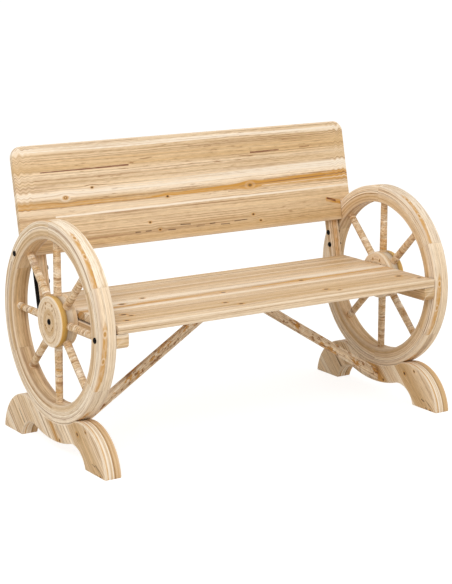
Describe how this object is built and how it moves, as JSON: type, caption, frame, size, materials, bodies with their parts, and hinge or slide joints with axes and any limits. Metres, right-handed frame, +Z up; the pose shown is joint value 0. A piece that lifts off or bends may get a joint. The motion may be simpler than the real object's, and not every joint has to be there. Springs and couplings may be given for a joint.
{
  "type": "wagon wheel bench",
  "caption": "Garden bench of pale fir with a spoked wagon wheel at each end as armrest, arched cradle feet, plank seat, slanting braces and a leaning wide-board backrest",
  "frame": {"origin": "bottom centre of the bench, on the ground below the middle of the seat", "axes": "+X along the bench to the right of a viewer in front, -Y to the front, +Z up"},
  "size_m": [1.153, 0.5748, 0.7938],
  "materials": {
    "felloe_fir": "planed and sanded natural fir",
    "spoke_fir": "planed and sanded natural fir",
    "hub_fir": "planed and sanded natural fir",
    "foot_fir": "planed and sanded natural fir",
    "seat_fir": "planed and sanded natural fir",
    "back_fir": "planed and sanded natural fir",
    "frame_fir": "planed and sanded natural fir",
    "dowel_wood": "plain turned dowel",
    "black_steel": "black coated",
    "screw_steel": "zinc plated"
  },
  "bodies": {
    "root": {"back_screws": "screw_steel", "backrest_panel": "back_fir", "brace_dowels": "dowel_wood", "foot_dowels": "dowel_wood", "left_back_post": "frame_fir", "left_brace": "frame_fir", "left_felloe_1": "felloe_fir", "left_felloe_2": "felloe_fir", "left_felloe_3": "felloe_fir", "left_felloe_4": "felloe_fir", "left_felloe_5": "felloe_fir", "left_felloe_6": "felloe_fir", "left_foot": "foot_fir", "left_hub_inner_disc": "hub_fir", "left_hub_outer_disc": "hub_fir", "left_post_strap": "black_steel", "left_seat_rail": "frame_fir", "left_spoke_1": "spoke_fir", "left_spoke_2": "spoke_fir", "left_spoke_3": "spoke_fir", "left_spoke_4": "spoke_fir", "left_spoke_5": "spoke_fir", "left_spoke_6": "spoke_fir", "left_spoke_7": "spoke_fir", "left_spoke_8": "spoke_fir", "post_bolts": "black_steel", "post_nuts": "black_steel", "rail_bolts": "black_steel", "right_back_post": "frame_fir", "right_brace": "frame_fir", "right_felloe_1": "felloe_fir", "right_felloe_2": "felloe_fir", "right_felloe_3": "felloe_fir", "right_felloe_4": "felloe_fir", "right_felloe_5": "felloe_fir", "right_felloe_6": "felloe_fir", "right_foot": "foot_fir", "right_hub_inner_disc": "hub_fir", "right_hub_outer_disc": "hub_fir", "right_post_strap": "black_steel", "right_seat_rail": "frame_fir", "right_spoke_1": "spoke_fir", "right_spoke_2": "spoke_fir", "right_spoke_3": "spoke_fir", "right_spoke_4": "spoke_fir", "right_spoke_5": "spoke_fir", "right_spoke_6": "spoke_fir", "right_spoke_7": "spoke_fir", "right_spoke_8": "spoke_fir", "seat_batten": "frame_fir", "seat_front_board": "seat_fir", "seat_middle_board": "seat_fir", "seat_rear_board": "seat_fir", "seat_screws": "screw_steel", "wheel_bolts": "black_steel"}
  },
  "joints": []
}
